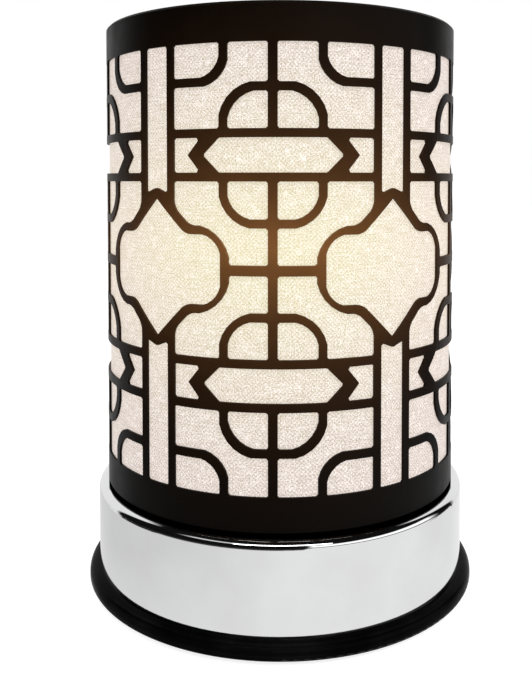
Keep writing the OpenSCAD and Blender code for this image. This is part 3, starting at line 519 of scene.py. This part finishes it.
# Pieces
def cloth_liner(node, thickness):
    """The liner as a rolled sheet with its butt seam at the back, replacing its plain solid."""
    low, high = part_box(node)
    outer = (high.x - low.x) / 2
    middle_r = outer - thickness / 2
    width = math.tau * middle_r - LINER_SEAM
    height = high.z - low.z
    sheet = bmesh.new()
    cloth_uv = sheet.loops.layers.uv.new("cloth")
    start = math.pi / 2 + LINER_SEAM / middle_r / 2
    grid = []
    for i in range(LINER_COLUMNS + 1):
        angle = start + width / middle_r * i / LINER_COLUMNS
        column = []
        for k in range(LINER_ROWS + 1):
            column.append(sheet.verts.new((
                middle_r * math.cos(angle), middle_r * math.sin(angle), low.z + height * k / LINER_ROWS)))
        grid.append(column)
    for i in range(LINER_COLUMNS):
        for k in range(LINER_ROWS):
            corners = [(i, k), (i + 1, k), (i + 1, k + 1), (i, k + 1)]
            face = sheet.faces.new([grid[a][b] for a, b in corners])
            face.smooth = True
            for loop, (a, b) in zip(face.loops, corners):
                loop[cloth_uv].uv = (width * a / LINER_COLUMNS, height * b / LINER_ROWS)
    mesh = bpy.data.meshes.new("liner_cloth")
    sheet.to_mesh(mesh)
    sheet.free()
    piece = bpy.data.objects.new("liner_cloth", mesh)
    bpy.context.scene.collection.objects.link(piece)
    solid = piece.modifiers.new("thickness", "SOLIDIFY")
    solid.thickness = thickness
    solid.offset = 0.0
    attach(piece, "stand")
    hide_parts(node)
    return piece


def straighten_normals(mesh):
    """Points the shading normals of a piece that is round about Z straight away from its axis. Facets of
    unlike sizes leave them askew by a few degrees, which shows in chrome. The shape stays as it is."""
    normals = []
    for loop, corner in zip(mesh.loops, mesh.corner_normals):
        normal = corner.vector.copy()
        flat = Vector((normal.x, normal.y, 0.0))
        place = mesh.vertices[loop.vertex_index].co
        outward = Vector((place.x, place.y, 0.0)).normalized()
        along = flat.dot(outward)
        if abs(along) > flat.length * ROUND_ENOUGH:
            normal = outward * math.copysign(flat.length, along) + Vector((0.0, 0.0, normal.z))
        normals.append(normal)
    mesh.normals_split_custom_set(normals)


def dress(materials):
    """Gives each node of the frame the material of its slot."""
    for node in nodes.values():
        for slot in node.material_slots:
            slot.material = materials[slot.material.name.split(".")[0]]


# Studio
def backdrop_share(tree, way):
    """Share of the pale backdrop in what gloss mirrors, by a flat direction."""
    turn = product(tree, axis(tree, way, "X"), BACKDROP_TURN)
    return rising(tree, math_node(tree, "SUBTRACT", axis(tree, way, "Y"), turn), BACKDROP_EDGE)


def wall_share(tree, way):
    """Share of the pale wall on the right in what gloss mirrors, by a flat direction."""
    from_right = rising(tree, axis(tree, way, "X"), WALL_EDGE)
    return product(tree, from_right, falling(tree, axis(tree, way, "Y"), WALL_BACK))


def strip_share(tree, way):
    """Share of the strip of pale ceiling in front in what gloss mirrors, by a flat direction."""
    in_front = falling(tree, axis(tree, way, "Y"), STRIP_FRONT)
    return product(tree, in_front, falling(tree, axis(tree, way, "X"), STRIP_EDGE))


def seen_directly(tree):
    """1 for rays of the camera and for those that metal or glass sends on."""
    path = add(tree, "ShaderNodeLightPath")
    either = math_node(tree, "MAXIMUM", path.outputs["Is Camera Ray"], path.outputs["Is Glossy Ray"])
    return math_node(tree, "MAXIMUM", either, path.outputs["Is Transmission Ray"])


def floor_in_gloss(tree, place):
    """Light of the floor as gloss mirrors it."""
    away = level(tree, place)[1]
    close_tone = product(tree, spread(tree, axis(tree, place, "X"), *CLOSE_TONE_X),
                         spread(tree, axis(tree, place, "Y"), *CLOSE_TONE_Y))
    close = product(tree, close_tone, falling(tree, away, CLOSE_BY))
    way = level(tree, vector_node(tree, "ADD", place, FROM_FRONT_OF_BASE).outputs[0])[0]
    backdrop = product(tree, backdrop_share(tree, way), BACKDROP_ON_FLOOR)
    beyond = math_node(tree, "MAXIMUM", wall_share(tree, way), backdrop)
    return total(tree, close, product(tree, beyond, rising(tree, away, CLOSE_BY)))


def floor(middle):
    """Pale floor that keeps the object's shadow, near white for the camera and through glass, shaded by place
    for gloss. From below it is clear."""
    mesh = bpy.data.meshes.new("floor")
    plate = bmesh.new()
    bmesh.ops.create_circle(plate, cap_ends=True, segments=FLOOR_SEGMENTS, radius=FLOOR_RADIUS)
    plate.to_mesh(mesh)
    plate.free()
    piece = bpy.data.objects.new("floor", mesh)
    piece.location = (middle.x, middle.y, cad_low.z)
    bpy.context.scene.collection.objects.link(piece)
    mat = bpy.data.materials.new("floor_paper")
    mat.use_nodes = True
    tree = mat.node_tree
    tree.nodes.clear()
    mirrored = add(tree, "ShaderNodeLightPath").outputs["Is Glossy Ray"]
    paper = add(tree, "ShaderNodeBsdfDiffuse", inputs={"Color": rgba(PAPER)}).outputs[0]
    grey = blend_colours(tree, mirrored, PAPER_SEEN, PAPER_MIRRORED)
    dim = add(tree, "ShaderNodeBsdfDiffuse", inputs={"Color": grey}).outputs[0]
    strength = blend_values(tree, mirrored, PAPER_GLOW, floor_in_gloss(tree, object_place(tree)))
    glow = add(tree, "ShaderNodeEmission", inputs={"Color": rgba(WHITE), "Strength": strength}).outputs[0]
    shown = add(tree, "ShaderNodeAddShader", inputs={0: dim, 1: glow}).outputs[0]
    either = add(tree, "ShaderNodeMixShader", inputs={0: seen_directly(tree), 1: paper, 2: shown}).outputs[0]
    behind = add(tree, "ShaderNodeNewGeometry").outputs["Backfacing"]
    clear = add(tree, "ShaderNodeBsdfTransparent").outputs[0]
    result = add(tree, "ShaderNodeMixShader", inputs={0: behind, 1: either, 2: clear}).outputs[0]
    add(tree, "ShaderNodeOutputMaterial", inputs={"Surface": result})
    mesh.materials.append(mat)


def room_in_gloss(tree):
    """Light of the room as gloss mirrors it: dark, with a pale backdrop, wall and strip of ceiling."""
    direction = add(tree, "ShaderNodeTexCoord").outputs["Generated"]
    rise = axis(tree, direction, "Z")
    way = level(tree, direction)[0]
    backdrop = product(tree, backdrop_share(tree, way), falling(tree, rise, BACKDROP_TOP))
    wall = product(tree, wall_share(tree, way), rising(tree, rise, WALL_FOOT, WALL_STRENGTH),
                   falling(tree, rise, WALL_TOP))
    strip = product(tree, strip_share(tree, way), rising(tree, rise, STRIP_FOOT, STRIP_STRENGTH),
                    falling(tree, rise, STRIP_TOP))
    brightest = math_node(tree, "MAXIMUM", math_node(tree, "MAXIMUM", backdrop, wall), strip)
    return total(tree, brightest, DARK_ROOM)


def studio_world():
    """White for the camera and through glass, a plain level of soft light from all round, a room for gloss."""
    world = bpy.data.worlds.new("studio")
    world.use_nodes = True
    bpy.context.scene.world = world
    tree = world.node_tree
    tree.nodes.clear()
    path = add(tree, "ShaderNodeLightPath")
    strength = blend_values(tree, path.outputs["Is Glossy Ray"], SOFT_LIGHT, room_in_gloss(tree))
    direct = math_node(tree, "MAXIMUM", path.outputs["Is Camera Ray"], path.outputs["Is Transmission Ray"])
    shown = blend_values(tree, direct, strength, 1.0)
    sky = add(tree, "ShaderNodeBackground", inputs={"Color": rgba(WHITE), "Strength": shown}).outputs[0]
    add(tree, "ShaderNodeOutputWorld", inputs={"Surface": sky})


def softbox(name, aim, place, size, watts, mirrored):
    """A rectangular lamp that points at a place. One that isn't mirrored doesn't show in gloss."""
    light = bpy.data.lights.new(name, "AREA")
    light.shape = "RECTANGLE"
    light.size, light.size_y = size
    light.energy = watts
    lamp = bpy.data.objects.new(name, light)
    lamp.location = place
    lamp.rotation_euler = (aim - lamp.location).to_track_quat("-Z", "Y").to_euler()
    lamp.visible_glossy = mirrored
    bpy.context.scene.collection.objects.link(lamp)


def photo_camera():
    """The photograph's camera, in front of the object and turned a little down."""
    data = bpy.data.cameras.new("camera")
    data.sensor_width = SENSOR_W
    data.lens = FOCAL_PX * SENSOR_W / IMAGE_H
    data.shift_x = (IMAGE_W / 2 - OPTICAL_CENTRE_PX[0]) / IMAGE_H
    data.shift_y = (OPTICAL_CENTRE_PX[1] - IMAGE_H / 2) / IMAGE_H
    data.clip_start = CLIP_START
    camera = bpy.data.objects.new("camera", data)
    camera.location = (
        CAMERA_DISTANCE * math.sin(CAMERA_AZIMUTH),
        -CAMERA_DISTANCE * math.cos(CAMERA_AZIMUTH),
        CAMERA_HEIGHT,
    )
    camera.rotation_euler = (math.pi / 2 - CAMERA_PITCH, 0, CAMERA_AZIMUTH)
    bpy.context.scene.collection.objects.link(camera)
    bpy.context.scene.camera = camera


photo_camera()
lamp_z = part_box("lamp_front_glass")[0].z + GLOW_RISE
centre = (cad_low + cad_high) / 2
finishes = {
    "bronze_paint": bronze_paint(lamp_z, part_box("shade_sleeve")[0].z),
    "chrome": chrome(),
    "black_flange": black_flange(),
    "liner_fabric": liner_fabric(lamp_z),
    "dish_glass": dish_glass(),
    "clear_glass": glowing("lamp_front", LAMP_MIDDLE, LAMP_RIM, reach=21 * MM),
    "lamp_quartz": glowing("lamp_quartz", LAMP_MIDDLE, QUARTZ_RIM, reach=5 * MM),
    "board_laminate": board_laminate(),
}
for slot_name, finish in PLAIN_FINISHES.items():
    finishes[slot_name] = grained(*finish)
dress(finishes)
straighten_normals(nodes["base_shell"].data)
liner = cloth_liner("fabric_liner", LINER_THICKNESS)
liner.data.materials.append(finishes["liner_fabric"])

floor(centre)
studio_world()
for lamp_name, lamp_settings in SOFTBOXES.items():
    softbox(lamp_name, centre, *lamp_settings)
bpy.context.scene.view_settings.view_transform = "Standard"
